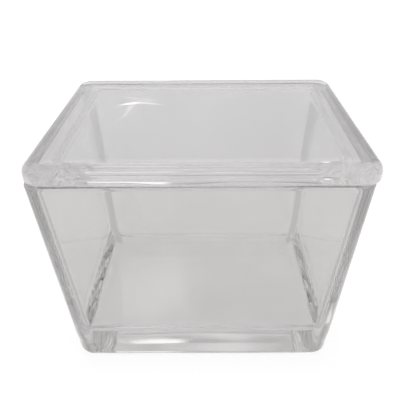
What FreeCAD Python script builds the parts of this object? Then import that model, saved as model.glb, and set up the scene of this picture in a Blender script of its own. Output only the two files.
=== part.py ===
import FreeCAD, Part

import os

import Sketcher

# Slide staining jar: a deep rectangular dish of clear pressed glass with a loose lid.
# Millimetres, +Z up. The origin is the middle of the dish's underside. X runs along
# the long side, Y from the front of the jar to its back.

doc = FreeCAD.newDocument("slide_staining_jar")

# ---------------------------------------------------------------- sizes
# Lengths in millimetres; drafts are degrees away from the vertical.
SIZES = (
    # Dish, outside, measured at the rim
    ("rim_length", 105.5),
    ("rim_width", 83.5),
    ("dish_height", 77.5),
    ("outer_draft", 4.2),
    ("outer_corner_radius", 6.0),
    ("foot_edge_radius", 4.0),
    # Dish, inside
    ("wall_at_rim", 3.9),
    ("base_thickness", 10.6),
    ("inner_draft", 4.7),
    ("inner_corner_radius", 3.0),
    ("floor_edge_radius", 7.0),
    ("rim_edge_radius", 1.3),
    # Lid plate, which stands out past the rim by the overhang on every side
    ("lid_overhang", 0.25),
    ("lid_thickness", 6.5),
    ("lid_corner_radius", 6.0),
    ("lid_top_edge_radius", 3.5),
    ("lid_lower_edge_radius", 1.2),
    # Plug under the lid that drops into the dish's mouth
    ("plug_depth", 3.5),
    ("plug_draft", 5.0),
    ("plug_corner_radius", 4.0),
    ("plug_edge_radius", 2.4),
    # Play all round the plug when the lid is centred, and what is left of it on the
    # side that the lid has slid to
    ("plug_clearance", 4.2),
    ("lid_side_gap", 3.5),
)

sheet = doc.addObject("Spreadsheet::Sheet", "Sizes")
for row, (alias, value) in enumerate(SIZES, start=1):
    sheet.set("A%d" % row, alias)
    sheet.set("B%d" % row, str(value))
    sheet.setAlias("B%d" % row, alias)
doc.recompute()

# Sizes that follow from the sheet's
MOUTH_LENGTH = "Sizes.rim_length - 2 * Sizes.wall_at_rim"
MOUTH_WIDTH = "Sizes.rim_width - 2 * Sizes.wall_at_rim"
CAVITY_DEPTH = "Sizes.dish_height - Sizes.base_thickness"
LID_LENGTH = "Sizes.rim_length + 2 * Sizes.lid_overhang"
LID_WIDTH = "Sizes.rim_width + 2 * Sizes.lid_overhang"
LID_SHIFT = "Sizes.plug_clearance - Sizes.lid_side_gap"
PLUG_LENGTH = MOUTH_LENGTH + " - 2 * Sizes.plug_clearance"
PLUG_WIDTH = MOUTH_WIDTH + " - 2 * Sizes.plug_clearance"


# ---------------------------------------------------------------- helpers
def new_body(label):
    body = doc.addObject("PartDesign::Body", label)
    body.Label = label
    return body


def rectangle(body, name, length, width, level=None, shift=None):
    """Sketch a rectangle centred on the Z axis, or on a line shifted along X from it."""
    sketch = body.newObject("Sketcher::SketchObject", name)
    plane = [f for f in body.Origin.OriginFeatures if f.Role == "XY_Plane"][0]
    sketch.AttachmentSupport = [(plane, "")]
    sketch.MapMode = "FlatFace"
    if level:
        sketch.setExpression("AttachmentOffset.Base.z", level)
    if shift:
        sketch.setExpression("AttachmentOffset.Base.x", shift)
    corners = [FreeCAD.Vector(x, y, 0) for x, y in ((-9, -9), (9, -9), (9, 9), (-9, 9))]
    for i in range(4):
        sketch.addGeometry(Part.LineSegment(corners[i], corners[(i + 1) % 4]), False)
    for i in range(4):
        sketch.addConstraint(Sketcher.Constraint("Coincident", i, 2, (i + 1) % 4, 1))
    for i, direction in enumerate(("Horizontal", "Vertical", "Horizontal", "Vertical")):
        sketch.addConstraint(Sketcher.Constraint(direction, i))
    sketch.addConstraint(Sketcher.Constraint("Symmetric", 0, 1, 1, 2, -1, 1))
    across = sketch.addConstraint(Sketcher.Constraint("DistanceX", 0, 1, 0, 2, 18))
    along = sketch.addConstraint(Sketcher.Constraint("DistanceY", 1, 1, 1, 2, 18))
    sketch.setExpression("Constraints[%d]" % across, length)
    sketch.setExpression("Constraints[%d]" % along, width)
    doc.recompute()
    return sketch


def pad(body, name, sketch, length, down=False):
    feature = body.newObject("PartDesign::Pad", name)
    feature.Profile = sketch
    feature.Reversed = down
    feature.setExpression("Length", length)
    doc.recompute()


def pocket(body, name, sketch, depth):
    """Cut downwards from the sketch."""
    volume = body.Shape.Volume
    feature = body.newObject("PartDesign::Pocket", name)
    feature.Profile = sketch
    feature.setExpression("Length", depth)
    doc.recompute()
    if body.Shape.Volume >= volume:
        raise RuntimeError(name + " cuts nothing")


def draft(body, name, faces, neutral_face, angle, reverse=False):
    """Lean the faces over by the angle; their edges on the neutral face stay put."""
    base = body.Tip
    feature = body.newObject("PartDesign::Draft", name)
    feature.Base = (base, faces)
    feature.NeutralPlane = (base, [neutral_face])
    feature.Reversed = reverse
    feature.setExpression("Angle", angle)
    doc.recompute()


def fillet(body, name, edges, radius):
    base = body.Tip
    feature = body.newObject("PartDesign::Fillet", name)
    feature.Base = (base, edges)
    feature.setExpression("Radius", radius)
    doc.recompute()


def spans(shape, low, high, upright):
    """Whether a face or edge reaches from low to high in Z, and rises or lies level."""
    box = shape.BoundBox
    rises = box.ZLength > 0.01
    return rises == upright and abs(box.ZMin - low) < 0.01 and abs(box.ZMax - high) < 0.01


def hangs(edge, high, above):
    """Whether an edge reaches down from high and ends somewhere above a level."""
    box = edge.BoundBox
    return box.ZLength > 0.01 and abs(box.ZMax - high) < 0.01 and box.ZMin > above + 0.01


def faces_between(body, low, high):
    faces = enumerate(body.Shape.Faces, start=1)
    return ["Face%d" % i for i, face in faces if spans(face, low, high, low != high)]


def upright_edges(body, low, high):
    edges = enumerate(body.Shape.Edges, start=1)
    return ["Edge%d" % i for i, edge in edges if spans(edge, low, high, True)]


def hanging_edges(body, high, above):
    edges = enumerate(body.Shape.Edges, start=1)
    return ["Edge%d" % i for i, edge in edges if hangs(edge, high, above)]


def level_edges(body, level):
    edges = enumerate(body.Shape.Edges, start=1)
    return ["Edge%d" % i for i, edge in edges if spans(edge, level, level, False)]


rim_level = float(sheet.dish_height)
floor_level = float(sheet.base_thickness)
top_level = rim_level + float(sheet.lid_thickness)
plug_level = rim_level - float(sheet.plug_depth)

# ---------------------------------------------------------------- dish
# One moulding, narrower at the foot than at the rim, with a thick flat base. The
# cavity has more draft than the outside, so the walls thicken towards the base.
dish = new_body("dish")
block = rectangle(dish, "rim_outline", "Sizes.rim_length", "Sizes.rim_width")
pad(dish, "block", block, "Sizes.dish_height")
mouth = rectangle(dish, "mouth", MOUTH_LENGTH, MOUTH_WIDTH, level="Sizes.dish_height")
pocket(dish, "cavity", mouth, CAVITY_DEPTH)

top = faces_between(dish, rim_level, rim_level)[0]
walls = faces_between(dish, floor_level, rim_level)
draft(dish, "inner_draft", walls, top, "Sizes.inner_draft")
top = faces_between(dish, rim_level, rim_level)[0]
sides = faces_between(dish, 0, rim_level)
draft(dish, "outer_draft", sides, top, "Sizes.outer_draft", reverse=True)

fillet(dish, "outer_corners", upright_edges(dish, 0, rim_level), "Sizes.outer_corner_radius")
fillet(dish, "foot_edge", level_edges(dish, 0), "Sizes.foot_edge_radius")
fillet(dish, "floor_edge", level_edges(dish, floor_level), "Sizes.floor_edge_radius")
inner_edges = hanging_edges(dish, rim_level, floor_level)
fillet(dish, "inner_corners", inner_edges, "Sizes.inner_corner_radius")
fillet(dish, "rim_edges", level_edges(dish, rim_level), "Sizes.rim_edge_radius")

# ---------------------------------------------------------------- lid
# A thick plate with rounded edges that rests on the rim, and below it a shallow plug
# that keeps it from sliding off. It lies a little off centre in the plug's play.
lid = new_body("lid")
plate = rectangle(
    lid, "plate_outline", LID_LENGTH, LID_WIDTH, level="Sizes.dish_height", shift=LID_SHIFT
)
pad(lid, "plate", plate, "Sizes.lid_thickness")
corners = upright_edges(lid, rim_level, top_level)
fillet(lid, "plate_corners", corners, "Sizes.lid_corner_radius")
fillet(lid, "top_edge", level_edges(lid, top_level), "Sizes.lid_top_edge_radius")
fillet(lid, "lower_edge", level_edges(lid, rim_level), "Sizes.lid_lower_edge_radius")

plug_outline = rectangle(
    lid, "plug_outline", PLUG_LENGTH, PLUG_WIDTH, level="Sizes.dish_height", shift=LID_SHIFT
)
pad(lid, "plug", plug_outline, "Sizes.plug_depth", down=True)
sides = faces_between(lid, plug_level, rim_level)
underside = faces_between(lid, rim_level, rim_level)[0]
draft(lid, "plug_draft", sides, underside, "Sizes.plug_draft", reverse=True)
corners = upright_edges(lid, plug_level, rim_level)
fillet(lid, "plug_corners", corners, "Sizes.plug_corner_radius")
fillet(lid, "plug_edge", level_edges(lid, plug_level), "Sizes.plug_edge_radius")

# ---------------------------------------------------------------- checks and export
doc.recompute()
for item in doc.Objects:
    if "Invalid" in item.State or "Error" in item.State:
        raise RuntimeError("%s did not recompute: %s" % (item.Label, item.State))

nodes = (dish, lid)
for body in nodes:
    shape = body.Shape
    if shape.isNull() or not shape.isValid() or len(shape.Solids) != 1:
        raise RuntimeError(body.Label + " is not one valid solid")

os.makedirs("parts", exist_ok=True)
for body in nodes:
    body.Shape.exportStep("parts/%s.step" % body.Label)
    box = body.Shape.BoundBox
    extent = "%.2f x %.2f x %.2f mm" % (box.XLength, box.YLength, box.ZLength)
    print("%s: %s, %.1f cm3" % (body.Label, extent, body.Shape.Volume / 1000))
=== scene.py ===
import math

import bpy
from mathutils import Matrix, Vector, noise


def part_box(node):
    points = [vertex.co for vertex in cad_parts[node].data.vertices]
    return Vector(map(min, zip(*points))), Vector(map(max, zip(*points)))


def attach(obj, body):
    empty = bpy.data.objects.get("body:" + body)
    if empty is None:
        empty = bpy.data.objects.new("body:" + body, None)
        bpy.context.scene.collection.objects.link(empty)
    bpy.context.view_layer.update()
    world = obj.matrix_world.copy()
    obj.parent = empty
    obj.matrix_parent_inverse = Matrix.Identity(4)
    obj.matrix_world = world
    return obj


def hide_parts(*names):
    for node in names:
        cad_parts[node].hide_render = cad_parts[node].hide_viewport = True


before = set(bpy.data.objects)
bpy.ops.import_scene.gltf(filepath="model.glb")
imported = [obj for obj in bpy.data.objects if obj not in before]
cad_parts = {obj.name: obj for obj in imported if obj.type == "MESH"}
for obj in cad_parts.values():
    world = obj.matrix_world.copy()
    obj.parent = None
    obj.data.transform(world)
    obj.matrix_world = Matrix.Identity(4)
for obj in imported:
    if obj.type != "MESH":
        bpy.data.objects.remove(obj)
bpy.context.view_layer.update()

# Sizes in metres. The outer sizes come from the two CAD solids, and the rest are the sizes that
# the solids were built with.
_, DISH_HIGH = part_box("dish")
LID_LOW, LID_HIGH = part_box("lid")

OUTER_DRAFT = math.radians(4.2)
INNER_DRAFT = math.radians(4.7)
OUTER_CORNER = 0.0060
FOOT_EDGE = 0.0040
WALL_AT_RIM = 0.0039
BASE_THICKNESS = 0.0106
INNER_CORNER = 0.0030
FLOOR_EDGE = 0.0070
RIM_EDGE = 0.0013

LID_CORNER = 0.0060
LID_TOP_EDGE = 0.0035
LID_LOWER_EDGE = 0.0012
PLUG_DRAFT = math.radians(5)
PLUG_CLEARANCE = 0.0042
PLUG_CORNER = 0.0040
PLUG_EDGE = 0.0024
AIR_GAP = 0.00006          # between lid and rim, which really touch at a few points only

# Both pieces are longer than they are wide by the same amount at every level, so each level
# is a rounded rectangle given by its half length alone.
HALF_EXCESS = (LID_HIGH[0] - LID_LOW[0] - LID_HIGH[1] + LID_LOW[1]) / 2
HEART = 0.0003             # half width of the slit where the rings of a flat face close up
HEART_HALF = HALF_EXCESS + HEART

RIM_LEVEL = DISH_HIGH[2]
RIM_HALF = DISH_HIGH[0] + RIM_EDGE * (math.tan(OUTER_DRAFT) + 1 / math.cos(OUTER_DRAFT) - 1)
FOOT_HALF = RIM_HALF - RIM_LEVEL * math.tan(OUTER_DRAFT)
MOUTH_HALF = RIM_HALF - WALL_AT_RIM
FLOOR_HALF = MOUTH_HALF - (RIM_LEVEL - BASE_THICKNESS) * math.tan(INNER_DRAFT)

LID_X = (LID_LOW[0] + LID_HIGH[0]) / 2
LID_HALF = (LID_HIGH[0] - LID_LOW[0]) / 2
LID_UNDER = RIM_LEVEL + AIR_GAP
PLUG_HALF = MOUTH_HALF - PLUG_CLEARANCE
PLUG_END_HALF = PLUG_HALF - (LID_UNDER - LID_LOW[2]) * math.tan(PLUG_DRAFT)

# How finely the skins are divided.
ARC_STEPS = 12
LONG_STEPS = 76
SHORT_STEPS = 58
SPACING = 0.0013           # between the levels of a straight stretch
SHORT_RUN = 6              # a stretch of this many steps or fewer is divided evenly
BUNCHED_UP = 0.8           # how much the levels crowd towards the ends of a stretch
BUNCHED_ROUND = 0.6        # the same for the points along a side

# Waves of the pressed glass, as depths in metres. They only ever take glass away.
BROAD_DEPTH = 0.00010
FOOT_DEPTH = 0.00022
FOOT_CORNER_DEPTH = 0.00030
LID_EDGE_DEPTH = 0.00007
DRAW = 0.18                # level distances count this much, which stretches drawn waves
FOOT_TOP, FOOT_FULL = 0.0115, 0.007              # heights between which the foot's waves set in
FOOT_CORNER_START, FOOT_CORNER_FULL = 0.016, 0.005        # distances in from the foot's sides
LID_EDGE_START, LID_EDGE_FULL = 0.010, 0.004              # distances in from the lid's sides

# Painted shade down the dish's corners and painted light round the lid's edges, as changes to how
# light the cast is, and the distances in from the sides where they set in.
DISH_PAINTED_CORNER_SHADE = -0.4
DISH_PAINTED_SHADE_START, DISH_PAINTED_SHADE_FULL = 0.0058, 0.0044
LID_PAINTED_EDGE_LIGHT = 0.16
LID_PAINTED_LIGHT_START, LID_PAINTED_LIGHT_FULL = 0.0075, 0.0045


def linked(name, data):
    """A new object, linked into the scene."""
    made = bpy.data.objects.new(name, data)
    bpy.context.scene.collection.objects.link(made)
    return made


# ------------------------------------------------------------------ glass skins
def arc_points(start, end, middle):
    """The points of an arc about middle, both ends included."""
    a = start - middle
    b = end - middle
    sweep = a.angle(b)
    for k in range(ARC_STEPS + 1):
        t = k / ARC_STEPS
        arm = (a * math.sin((1 - t) * sweep) + b * math.sin(t * sweep)) / math.sin(sweep)
        yield middle + arm


def bunched(t, amount):
    """Shifts a share t of a stretch towards the nearer end, so that flats stay flat."""
    return t - amount * math.sin(2 * math.pi * t) / (2 * math.pi)


def run_points(start, end):
    """The points between two ends, each with its share of the way."""
    steps = max(3, math.ceil((end - start).length / SPACING))
    for k in range(1, steps):
        t = k / steps
        if steps > SHORT_RUN:
            t = bunched(t, BUNCHED_UP)
        yield start.lerp(end, t), t


def rounded_section(corners):
    """Half section through a skin: (half length, height, plan corner radius, outside) by level.

    Each corner is (half length, height, radius of its edge, plan corner radius there,
    1 on the outside of the closed jar or 0 within it).
    """
    spots = [Vector(c[:2]) for c in corners]
    arcs = []
    for i, (x, _, edge, plan, outside) in enumerate(corners):
        if edge == 0:
            arcs.append([(spots[i], plan, outside)])
            continue
        back = (spots[i - 1] - spots[i]).normalized()
        ahead = (spots[i + 1] - spots[i]).normalized()
        half_angle = back.angle(ahead) / 2
        reach = edge / math.tan(half_angle)
        middle = spots[i] + (back + ahead).normalized() * edge / math.sin(half_angle)
        arc = arc_points(spots[i] + back * reach, spots[i] + ahead * reach, middle)
        if edge < plan:
            arcs.append([(p, plan + p.x - x, outside) for p in arc])
        else:
            arcs.append([(p, max(HEART, plan * (p.x - middle.x) / edge), outside) for p in arc])
    section = list(arcs[0])
    for arc in arcs[1:]:
        start, plan_start, outside_start = section[-1]
        end, plan_end, outside_end = arc[0]
        for p, t in run_points(start, end):
            plan = plan_start + (plan_end - plan_start) * t
            section.append((p, plan, outside_start + (outside_end - outside_start) * t))
        section.extend(arc)
    return [(p.x, p.y, plan, outside) for p, plan, outside in section]


def rounded_ring(half_length, level, corner, centre_x):
    """One level of a skin, as points around a rounded rectangle."""
    half_width = half_length - HALF_EXCESS
    corner = min(corner, half_width)
    ring = []
    for quarter, (sx, sy) in enumerate(((1, 1), (-1, 1), (-1, -1), (1, -1))):
        cx = sx * (half_length - corner)
        cy = sy * (half_width - corner)
        for k in range(ARC_STEPS + 1):
            turn = math.radians(90) * (quarter + k / ARC_STEPS)
            ring.append((cx + corner * math.cos(turn), cy + corner * math.sin(turn)))
        along_x = quarter % 2 == 0
        steps = LONG_STEPS if along_x else SHORT_STEPS
        ax, ay = ring[-1]
        bx = -ax if along_x else ax
        by = ay if along_x else -ay
        for k in range(1, steps):
            t = bunched(k / steps, BUNCHED_ROUND)
            ring.append((ax + (bx - ax) * t, ay + (by - ay) * t))
    return [(centre_x + x, y, level) for x, y in ring]


def glass_skin(name, corners, centre_x, ripple, painted_shading_at):
    """A closed skin from its half section, with the faint waves of pressed glass.

    Its points keep how far they are outside the closed jar, and the painted shade and light of the
    glass there.
    """
    verts = []
    faces = []
    outside = []
    rings = rounded_section(corners)
    for half_length, level, corner, out in rings:
        ring = rounded_ring(half_length, level, corner, centre_x)
        verts.extend(ring)
        outside.extend([out] * len(ring))
    around = len(verts) // len(rings)
    for row in range(len(rings) - 1):
        for k in range(around):
            here = row * around + k
            there = row * around + (k + 1) % around
            faces.append((here, there, there + around, here + around))
    faces.append(tuple(reversed(range(around))))
    faces.append(tuple(range(len(verts) - around, len(verts))))
    mesh = bpy.data.meshes.new(name)
    mesh.from_pydata(verts, [], faces)
    # tone holds the painted shade and light of the glass at each point.
    tone = [painted_shading_at(v.co) for v in mesh.vertices]
    mesh.attributes.new("outside", "FLOAT", "POINT").data.foreach_set("value", outside)
    mesh.attributes.new("tone", "FLOAT", "POINT").data.foreach_set("value", tone)
    mesh.shade_smooth()
    normals = [v.normal.copy() for v in mesh.vertices]
    for vert, normal in zip(mesh.vertices, normals):
        vert.co -= normal * ripple(vert.co)
    mesh.update()
    return linked(name, mesh)


def waves(spot, scale, seed):
    """Smooth noise from 0 to 1, with features about scale metres apart."""
    return 0.5 + 0.5 * max(-1, min(1, noise.noise(spot / scale + Vector((seed, 0, 0)))))


def drawn_waves(spot, scale, seed):
    """Waves stretched level with the bench, as the mould draws them round a moulding."""
    return waves(Vector((DRAW * spot.x, DRAW * spot.y, spot.z)), scale, seed)


def near_one(value, start, end):
    """0 at start, 1 at end, and smooth between them."""
    t = max(0.0, min(1.0, (value - start) / (end - start)))
    return t * t * (3 - 2 * t)


def dish_painted_corner_shade(spot):
    """Painted shade: the cast darker down the corners, where two walls meet."""
    half_length = FOOT_HALF + spot.z * math.tan(OUTER_DRAFT)
    inset = max(half_length - abs(spot.x), half_length - HALF_EXCESS - abs(spot.y))
    return 1 + DISH_PAINTED_CORNER_SHADE * near_one(inset, DISH_PAINTED_SHADE_START, DISH_PAINTED_SHADE_FULL)


def lid_inset(spot):
    """How far in from the lid's nearest side a spot is."""
    return min(LID_HALF - abs(spot.x - LID_X), LID_HALF - HALF_EXCESS - abs(spot.y))


def lid_painted_edge_light(spot):
    """Painted light: the cast lighter in the rim of the plate, outside the plug."""
    return 1 + LID_PAINTED_EDGE_LIGHT * near_one(lid_inset(spot), LID_PAINTED_LIGHT_START, LID_PAINTED_LIGHT_FULL)


def dish_ripple(spot):
    """Broad waves all over, drawn ones round the foot, and curled ones low in its corners."""
    low = near_one(spot.z, FOOT_TOP, FOOT_FULL)
    end = near_one(abs(spot.x), FOOT_HALF - FOOT_CORNER_START, FOOT_HALF - FOOT_CORNER_FULL)
    foot_half_width = FOOT_HALF - HALF_EXCESS
    side = near_one(
        abs(spot.y), foot_half_width - FOOT_CORNER_START, foot_half_width - FOOT_CORNER_FULL)
    broad = BROAD_DEPTH * waves(spot, scale=0.035, seed=11)
    drawn = FOOT_DEPTH * low * drawn_waves(spot, scale=0.006, seed=23)
    curled = FOOT_CORNER_DEPTH * low * end * side * waves(spot, scale=0.0042, seed=29)
    return broad + drawn + curled


def lid_ripple(spot):
    """Broad waves all over, and drawn ones round the edge."""
    edge = near_one(lid_inset(spot), LID_EDGE_START, LID_EDGE_FULL)
    broad = BROAD_DEPTH * waves(spot, scale=0.030, seed=37)
    drawn = LID_EDGE_DEPTH * edge * drawn_waves(spot, scale=0.0045, seed=41)
    return broad + drawn


dish_glass = glass_skin("dish_glass", [
    (HEART_HALF, 0, 0, HEART, 1),
    (FOOT_HALF, 0, FOOT_EDGE, OUTER_CORNER, 1),
    (RIM_HALF, RIM_LEVEL, RIM_EDGE, OUTER_CORNER, 1),
    (MOUTH_HALF, RIM_LEVEL, RIM_EDGE, INNER_CORNER, 0),
    (FLOOR_HALF, BASE_THICKNESS, FLOOR_EDGE, INNER_CORNER, 0),
    (HEART_HALF, BASE_THICKNESS, 0, HEART, 0),
], 0, dish_ripple, dish_painted_corner_shade)
lid_glass = glass_skin("lid_glass", [
    (HEART_HALF, LID_LOW[2], 0, HEART, 0),
    (PLUG_END_HALF, LID_LOW[2], PLUG_EDGE, PLUG_CORNER, 0),
    (PLUG_HALF, LID_UNDER, 0, PLUG_CORNER, 0),
    (LID_HALF, LID_UNDER, LID_LOWER_EDGE, LID_CORNER, 1),
    (LID_HALF, LID_HIGH[2], LID_TOP_EDGE, LID_CORNER, 1),
    (HEART_HALF, LID_HIGH[2], 0, HEART, 1),
], LID_X, lid_ripple, lid_painted_edge_light)


# ------------------------------------------------------------------ node helpers
def node_material(name):
    """A new node material, its node tree and its Principled shader."""
    material = bpy.data.materials.new(name)
    material.use_nodes = True
    return material, material.node_tree, material.node_tree.nodes["Principled BSDF"]


def grey(value):
    """A colour with one value for red, green and blue."""
    return value, value, value


def noise_node(tree, scale, detail, roughness=0.5, space="Object"):
    """Noise over the object or the sky, with scale in features per metre or per unit."""
    place = tree.nodes.new("ShaderNodeTexCoord")
    texture = tree.nodes.new("ShaderNodeTexNoise")
    texture.inputs["Scale"].default_value = scale
    texture.inputs["Detail"].default_value = detail
    texture.inputs["Roughness"].default_value = roughness
    tree.links.new(place.outputs[space], texture.inputs["Vector"])
    return texture


def ramp_node(tree, source, stops):
    """A colour ramp over a source from 0 to 1; stops are (position, colour)."""
    ramp = tree.nodes.new("ShaderNodeValToRGB")
    elements = ramp.color_ramp.elements
    while len(elements) < len(stops):
        elements.new(1)
    for element, (position, colour) in zip(elements, stops):
        element.position = position
        element.color = (*colour, 1)
    tree.links.new(source, ramp.inputs["Fac"])
    return ramp


def grey_ramp(tree, source, stops):
    """A ramp of greys over a source from 0 to 1; stops are (position, value)."""
    return ramp_node(tree, source, [(position, grey(value)) for position, value in stops])


def multiply_colours(tree, first, second):
    """A node that multiplies two colours."""
    product = tree.nodes.new("ShaderNodeMix")
    product.data_type = "RGBA"
    product.blend_type = "MULTIPLY"
    product.inputs["Factor"].default_value = 1
    tree.links.new(first, product.inputs["A"])
    tree.links.new(second, product.inputs["B"])
    return product


def kept_value(tree, name):
    """A node that reads one of the mesh's attributes."""
    attribute = tree.nodes.new("ShaderNodeAttribute")
    attribute.attribute_name = name
    return attribute


def split_place(tree):
    """A node with X, Y and Z: across a card from 0 to 1, or of a direction in the sky."""
    place = tree.nodes.new("ShaderNodeTexCoord")
    split = tree.nodes.new("ShaderNodeSeparateXYZ")
    tree.links.new(place.outputs["Generated"], split.inputs["Vector"])
    return split


# ------------------------------------------------------------------ glass and paper
GLASS_IOR = 1.5
HAZE_ROUGHNESS = 0.05      # of the smears, on a surface that is sharp elsewhere
BUMP_STRENGTH = 0.05
BUMP_DISTANCE = 0.0002
DEPTH_COLOUR = (0.32, 0.31, 0.30, 1)


def clear_glass(name, pale, deep, density):
    """Thick pressed glass: a grey cast that varies a little, with painted shade and light carried
    by the tone attribute, fine waves and handling haze.
    """
    material, tree, shader = node_material(name)
    shader.inputs["Transmission Weight"].default_value = 1
    shader.inputs["IOR"].default_value = GLASS_IOR

    # The cast is on the outside alone: light that crosses an inner face is not tinted again.
    cloud = noise_node(tree, scale=30, detail=3)
    cast = ramp_node(tree, cloud.outputs["Fac"], [(0.35, pale), (0.65, deep)])
    # The tone attribute paints shade down the dish's corners and light round the lid's edges.
    tone = kept_value(tree, "tone")
    cast_with_painted_light = multiply_colours(tree, cast.outputs["Color"], tone.outputs["Color"])
    skin = tree.nodes.new("ShaderNodeMix")
    skin.data_type = "RGBA"
    skin.inputs["A"].default_value = (1, 1, 1, 1)
    tree.links.new(kept_value(tree, "outside").outputs["Fac"], skin.inputs["Factor"])
    tree.links.new(cast_with_painted_light.outputs["Result"], skin.inputs["B"])
    tree.links.new(skin.outputs["Result"], shader.inputs["Base Color"])

    smear = noise_node(tree, scale=90, detail=6, roughness=0.7)
    haze = grey_ramp(tree, smear.outputs["Fac"], [(0.5, 0), (0.75, HAZE_ROUGHNESS)])
    tree.links.new(haze.outputs["Color"], shader.inputs["Roughness"])

    swirl = noise_node(tree, scale=35, detail=0)
    bump = tree.nodes.new("ShaderNodeBump")
    bump.inputs["Strength"].default_value = BUMP_STRENGTH
    bump.inputs["Distance"].default_value = BUMP_DISTANCE
    tree.links.new(swirl.outputs["Fac"], bump.inputs["Height"])
    tree.links.new(bump.outputs["Normal"], shader.inputs["Normal"])

    depth = tree.nodes.new("ShaderNodeVolumeAbsorption")
    depth.inputs["Color"].default_value = DEPTH_COLOUR
    depth.inputs["Density"].default_value = density
    tree.links.new(depth.outputs["Volume"], tree.nodes["Material Output"].inputs["Volume"])
    pass_light_to_floor(tree, shader)
    return material


def pass_light_to_floor(tree, shader):
    """Lets the floor's light straight through the glass, less towards its grazing edges."""
    path = tree.nodes.new("ShaderNodeLightPath")
    either = tree.nodes.new("ShaderNodeMath")
    either.operation = "MAXIMUM"
    tree.links.new(path.outputs["Is Shadow Ray"], either.inputs[0])
    tree.links.new(path.outputs["Is Diffuse Ray"], either.inputs[1])
    graze = tree.nodes.new("ShaderNodeLayerWeight")
    graze.inputs["Blend"].default_value = 0.3
    veil = grey_ramp(tree, graze.outputs["Facing"], [(0, 0.995), (0.5, 0.97), (1, 0.55)])
    clear = tree.nodes.new("ShaderNodeBsdfTransparent")
    tree.links.new(veil.outputs["Color"], clear.inputs["Color"])
    mix = tree.nodes.new("ShaderNodeMixShader")
    tree.links.new(either.outputs["Value"], mix.inputs["Fac"])
    tree.links.new(shader.outputs["BSDF"], mix.inputs[1])
    tree.links.new(clear.outputs["BSDF"], mix.inputs[2])
    tree.links.new(mix.outputs["Shader"], tree.nodes["Material Output"].inputs["Surface"])


def floor_paper(name):
    """White paper with a barely visible tooth."""
    material, tree, shader = node_material(name)
    shader.inputs["Roughness"].default_value = 0.9
    shader.inputs["Specular IOR Level"].default_value = 0.1
    tooth = noise_node(tree, scale=900, detail=4)
    tone = grey_ramp(tree, tooth.outputs["Fac"], [(0, 0.97), (1, 0.985)])
    tree.links.new(tone.outputs["Color"], shader.inputs["Base Color"])
    return material


# By piece: the node it stands for, its palest and deepest cast, and its density per metre.
for piece, node, pale, deep, density in (
    (dish_glass, "dish", (0.595, 0.583, 0.581), (0.555, 0.543, 0.541), 1.0),
    (lid_glass, "lid", (0.53, 0.52, 0.525), (0.50, 0.49, 0.495), 0.4),
):
    piece.data.materials.append(clear_glass(node + "_clear_glass", pale, deep, density))
    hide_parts(node)
    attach(piece, "root")


# ------------------------------------------------------------------ floor, light, camera
FLOOR_REACH = 3            # metres from the jar to each side of the paper
FLOOR_DROP = 0.0002        # below the jar's foot, so that the two never share a plane
CARD_STEPS = 16
SKY_STRENGTH = 1.15

# The camera, from the perspective fit: place in metres, angles in degrees.
CAMERA_PLACE = (0.00299, -0.1631, 0.14627)
CAMERA_TURN = 0.4
CAMERA_DIP = 31.573
CAMERA_ROLL = -0.434
SENSOR_WIDTH = 36
FOCAL_LENGTH = 43.65
CAMERA_SHIFT = (-0.0175, 0.0125)
BOUNCES = 32               # enough for light to cross every face of the nested glass


def flat_square(name, reach):
    """A level square about the origin."""
    mesh = bpy.data.meshes.new(name)
    mesh.from_pydata(
        [(-reach, -reach, 0), (reach, -reach, 0), (reach, reach, 0), (-reach, reach, 0)],
        [], [(0, 1, 2, 3)])
    return linked(name, mesh)


floor = flat_square("floor", FLOOR_REACH)
floor.location.z = -FLOOR_DROP
floor.data.materials.append(floor_paper("floor_paper"))


def glow(name, radiance, along, across):
    """Light on top of what is behind a card, along and across it; stops are (position, share)."""
    material = bpy.data.materials.new(name)
    material.use_nodes = True
    tree = material.node_tree
    tree.nodes.remove(tree.nodes["Principled BSDF"])
    split = split_place(tree)
    lengthwise = grey_ramp(tree, split.outputs["X"], along)
    crosswise = grey_ramp(tree, split.outputs["Y"], across)
    light = multiply_colours(tree, lengthwise.outputs["Color"], crosswise.outputs["Color"])
    lit = tree.nodes.new("ShaderNodeEmission")
    lit.inputs["Strength"].default_value = radiance
    tree.links.new(light.outputs["Result"], lit.inputs["Color"])
    behind = tree.nodes.new("ShaderNodeBsdfTransparent")
    both = tree.nodes.new("ShaderNodeAddShader")
    tree.links.new(lit.outputs["Emission"], both.inputs[0])
    tree.links.new(behind.outputs["BSDF"], both.inputs[1])
    tree.links.new(both.outputs["Shader"], tree.nodes["Material Output"].inputs["Surface"])
    return material


def soft_card(name, azimuth, elevation, distance, size, sag, radiance, along, across):
    """A glowing card that faces the jar, its ends raised; azimuth turns from +Y towards +X."""
    width, height = size
    verts = []
    for k in range(CARD_STEPS + 1):
        t = 2 * k / CARD_STEPS - 1
        for side in (-0.5, 0.5):
            verts.append((t * width / 2, sag * t * t + side * height, 0))
    faces = [(2 * k, 2 * k + 2, 2 * k + 3, 2 * k + 1) for k in range(CARD_STEPS)]
    mesh = bpy.data.meshes.new(name)
    mesh.from_pydata(verts, [], faces)
    mesh.materials.append(glow(name, radiance, along, across))
    card = linked(name, mesh)
    turn = math.radians(azimuth)
    rise = math.radians(elevation)
    card.location = distance * Vector((
        math.cos(rise) * math.sin(turn), math.cos(rise) * math.cos(turn), math.sin(rise)))
    card.rotation_euler = (-card.location).to_track_quat("-Z", "Y").to_euler()


def sky_ramp(tree, direction, stops):
    """A ramp from one side of the sky to the other; direction goes from -1 to 1."""
    share = tree.nodes.new("ShaderNodeMapRange")
    share.inputs["From Min"].default_value = -1
    tree.links.new(direction, share.inputs["Value"])
    return grey_ramp(tree, share.outputs["Result"], stops)


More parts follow.
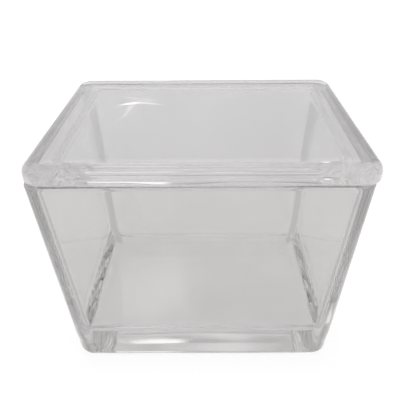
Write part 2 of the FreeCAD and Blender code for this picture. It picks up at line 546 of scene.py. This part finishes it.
def studio_world():
    """Pale, slightly uneven overhead light that falls off towards a dimmer room at the horizon."""
    world = bpy.data.worlds.new("studio")
    bpy.context.scene.world = world
    world.use_nodes = True
    tree = world.node_tree
    split = split_place(tree)
    sky = grey_ramp(tree, split.outputs["Z"], [
        (0.0, 0.50),
        (0.04, 0.72),
        (0.15, 0.84),
        (0.50, 0.92),
        (1.0, 1.0),
    ])
    patches = noise_node(tree, scale=5, detail=2, space="Generated")
    uneven = grey_ramp(tree, patches.outputs["Fac"], [(0.38, 0.72), (0.62, 1.12)])
    overhead = grey_ramp(tree, split.outputs["Z"], [(0.50, 0), (0.65, 1)])
    light = multiply_colours(tree, sky.outputs["Color"], uneven.outputs["Color"])
    tree.links.new(overhead.outputs["Color"], light.inputs["Factor"])
    sideways = sky_ramp(tree, split.outputs["X"], [(0.1, 1.10), (0.5, 1), (0.9, 0.85)])
    frontal = sky_ramp(tree, split.outputs["Y"], [(0.05, 1.3), (0.4, 1)])
    both = multiply_colours(tree, sideways.outputs["Color"], frontal.outputs["Color"])
    lit = multiply_colours(tree, light.outputs["Result"], both.outputs["Result"])
    background = tree.nodes["Background"]
    tree.links.new(lit.outputs["Result"], background.inputs["Color"])
    background.inputs["Strength"].default_value = SKY_STRENGTH


studio_world()

# The cards, with angles in degrees and sizes in metres.
soft_card(
    "window", azimuth=-12.8, elevation=10.5, distance=1.5, size=(0.42, 0.36),
    sag=0, radiance=0.9,
    along=[(0, 0), (0.08, 1), (0.6, 1), (1, 0)],
    across=[(0, 0.6), (0.2, 1), (0.6, 1), (0.95, 0)])
soft_card(
    "window_top", azimuth=-12.5, elevation=41.2, distance=5, size=(1.25, 0.78),
    sag=0, radiance=0.95,
    along=[(0, 0), (0.1, 1), (0.7, 1), (1, 0)],
    across=[(0, 0), (0.3, 1), (0.72, 1), (0.95, 0)])
soft_card(
    "window_gap", azimuth=-6, elevation=52, distance=1.5, size=(0.5, 0.12),
    sag=0, radiance=0.45,
    along=[(0, 0), (0.3, 1), (0.7, 1), (1, 0)],
    across=[(0, 0), (0.3, 1), (0.7, 1), (1, 0)])
soft_card(
    "tube", azimuth=-9.2, elevation=22.3, distance=1.5, size=(0.16, 0.006),
    sag=0.010, radiance=2.6,
    along=[(0, 0), (0.4, 0.5), (0.6, 0.5), (0.66, 1), (0.76, 1), (1, 0)],
    across=[(0, 1), (1, 1)])

camera_data = bpy.data.cameras.new("camera")
camera_data.sensor_width = SENSOR_WIDTH
camera_data.lens = FOCAL_LENGTH
camera_data.shift_x, camera_data.shift_y = CAMERA_SHIFT
camera_data.clip_start = 0.01
camera = linked("camera", camera_data)
camera.matrix_world = (
    Matrix.Translation(CAMERA_PLACE)
    @ Matrix.Rotation(math.radians(CAMERA_TURN), 4, "Z")
    @ Matrix.Rotation(math.radians(90 - CAMERA_DIP), 4, "X")
    @ Matrix.Rotation(math.radians(CAMERA_ROLL), 4, "Z"))
bpy.context.scene.camera = camera

bpy.context.scene.view_settings.view_transform = "Standard"
bpy.context.scene.cycles.max_bounces = BOUNCES
bpy.context.scene.cycles.glossy_bounces = BOUNCES
bpy.context.scene.cycles.transmission_bounces = BOUNCES
